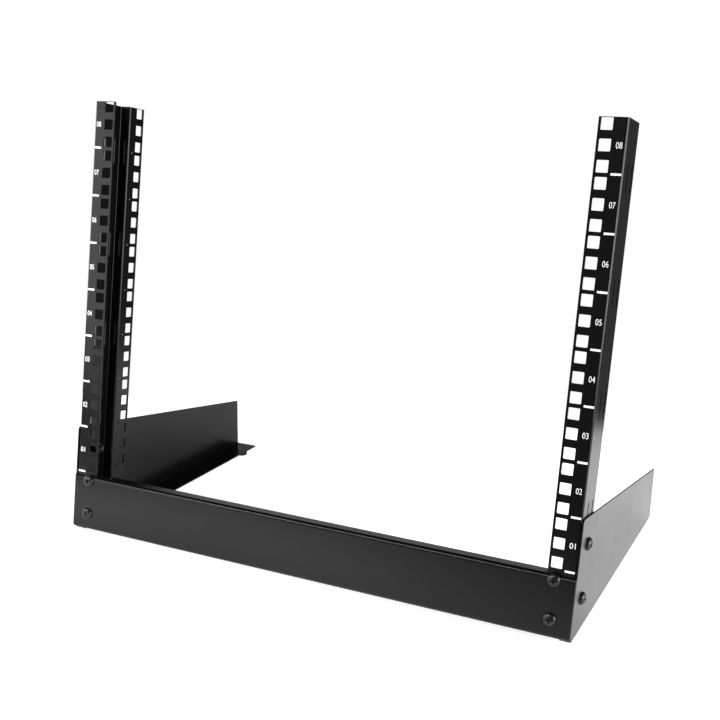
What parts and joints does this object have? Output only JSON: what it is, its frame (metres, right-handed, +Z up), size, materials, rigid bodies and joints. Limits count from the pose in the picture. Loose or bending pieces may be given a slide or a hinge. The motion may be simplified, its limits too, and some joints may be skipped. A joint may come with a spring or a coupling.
{
  "type": "two post open frame desktop rack",
  "caption": "Open desktop rack with two perforated posts leaning slightly back over a front bar and tapered side legs.",
  "frame": {"origin": "centre of the footprint at the level of the feet", "axes": "+X across the front to the viewer's right, +Y into the depth from the front bar to the rear ends of the legs, +Z up"},
  "size_m": [0.5078, 0.3096, 0.4146],
  "materials": {
    "powder_coat": "fine textured black powder coat",
    "screw_black": "black plated steel",
    "nut_black": "black plated steel",
    "foot_rubber": "matt black rubber"
  },
  "bodies": {
    "root": {"front_bar": "powder_coat", "left_post": "powder_coat", "right_post": "powder_coat", "left_leg": "powder_coat", "right_leg": "powder_coat", "bar_screw_left_upper": "screw_black", "bar_nut_left_upper": "nut_black", "leg_screw_left_upper": "screw_black", "leg_nut_left_upper": "nut_black", "bar_screw_left_lower": "screw_black", "bar_nut_left_lower": "nut_black", "leg_screw_left_lower": "screw_black", "leg_nut_left_lower": "nut_black", "bar_screw_right_upper": "screw_black", "bar_nut_right_upper": "nut_black", "leg_screw_right_upper": "screw_black", "leg_nut_right_upper": "nut_black", "bar_screw_right_lower": "screw_black", "bar_nut_right_lower": "nut_black", "leg_screw_right_lower": "screw_black", "leg_nut_right_lower": "nut_black", "foot_front_left": "foot_rubber", "foot_front_right": "foot_rubber", "foot_rear_left": "foot_rubber", "foot_rear_right": "foot_rubber"}
  },
  "joints": []
}
